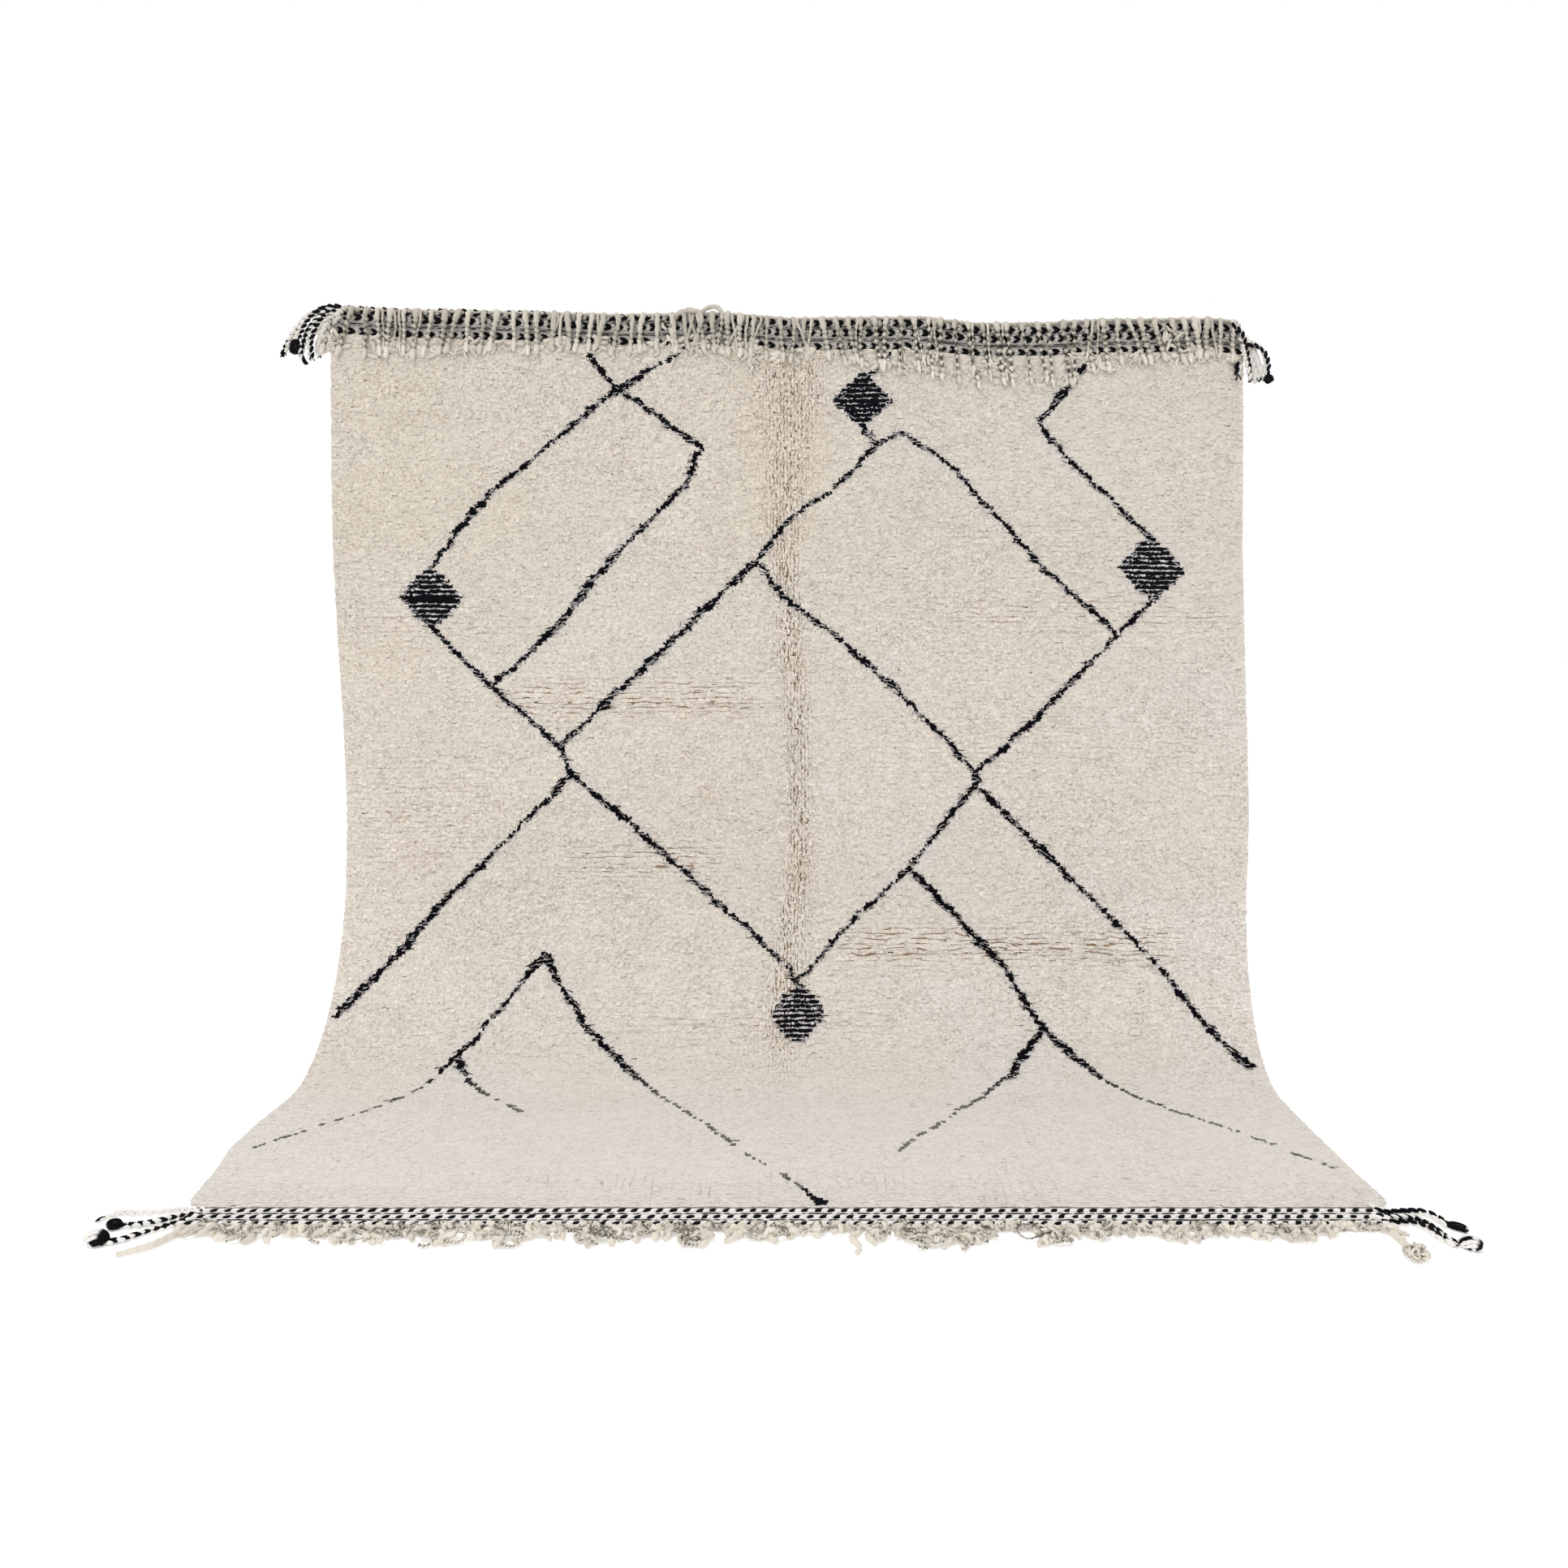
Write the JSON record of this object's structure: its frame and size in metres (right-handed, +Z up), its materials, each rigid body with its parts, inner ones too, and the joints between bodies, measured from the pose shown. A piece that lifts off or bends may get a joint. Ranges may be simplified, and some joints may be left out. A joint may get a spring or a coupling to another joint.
{
  "type": "hung pile rug",
  "caption": "Hand-knotted ivory wool rug with black lozenge lines, hung by its top edge and swept forward onto the floor, with twined end bands, fringe and corner tails.",
  "frame": {"origin": "on the floor, in the middle of the rug's box, below the sweep between the hanging and the lying part", "axes": "+X across the rug to the right as seen from its pile side, +Y from the lying end towards the plane in which it hangs, +Z up"},
  "size_m": [2.2773, 0.768, 1.6724],
  "materials": {
    "pile_wool": "short hand-knotted wool pile, matt",
    "twined_yarn": "black and white wool yarn twined together, matt",
    "fringe_yarn": "undyed twisted wool yarn, matt"
  },
  "bodies": {
    "root": {"pile_field": "pile_wool", "top_band": "twined_yarn", "floor_band": "twined_yarn", "top_fringe": "fringe_yarn", "floor_fringe": "fringe_yarn", "tail_top_left": "twined_yarn", "tail_top_right": "twined_yarn", "tail_floor_left": "twined_yarn", "tail_floor_right": "twined_yarn"}
  },
  "joints": []
}
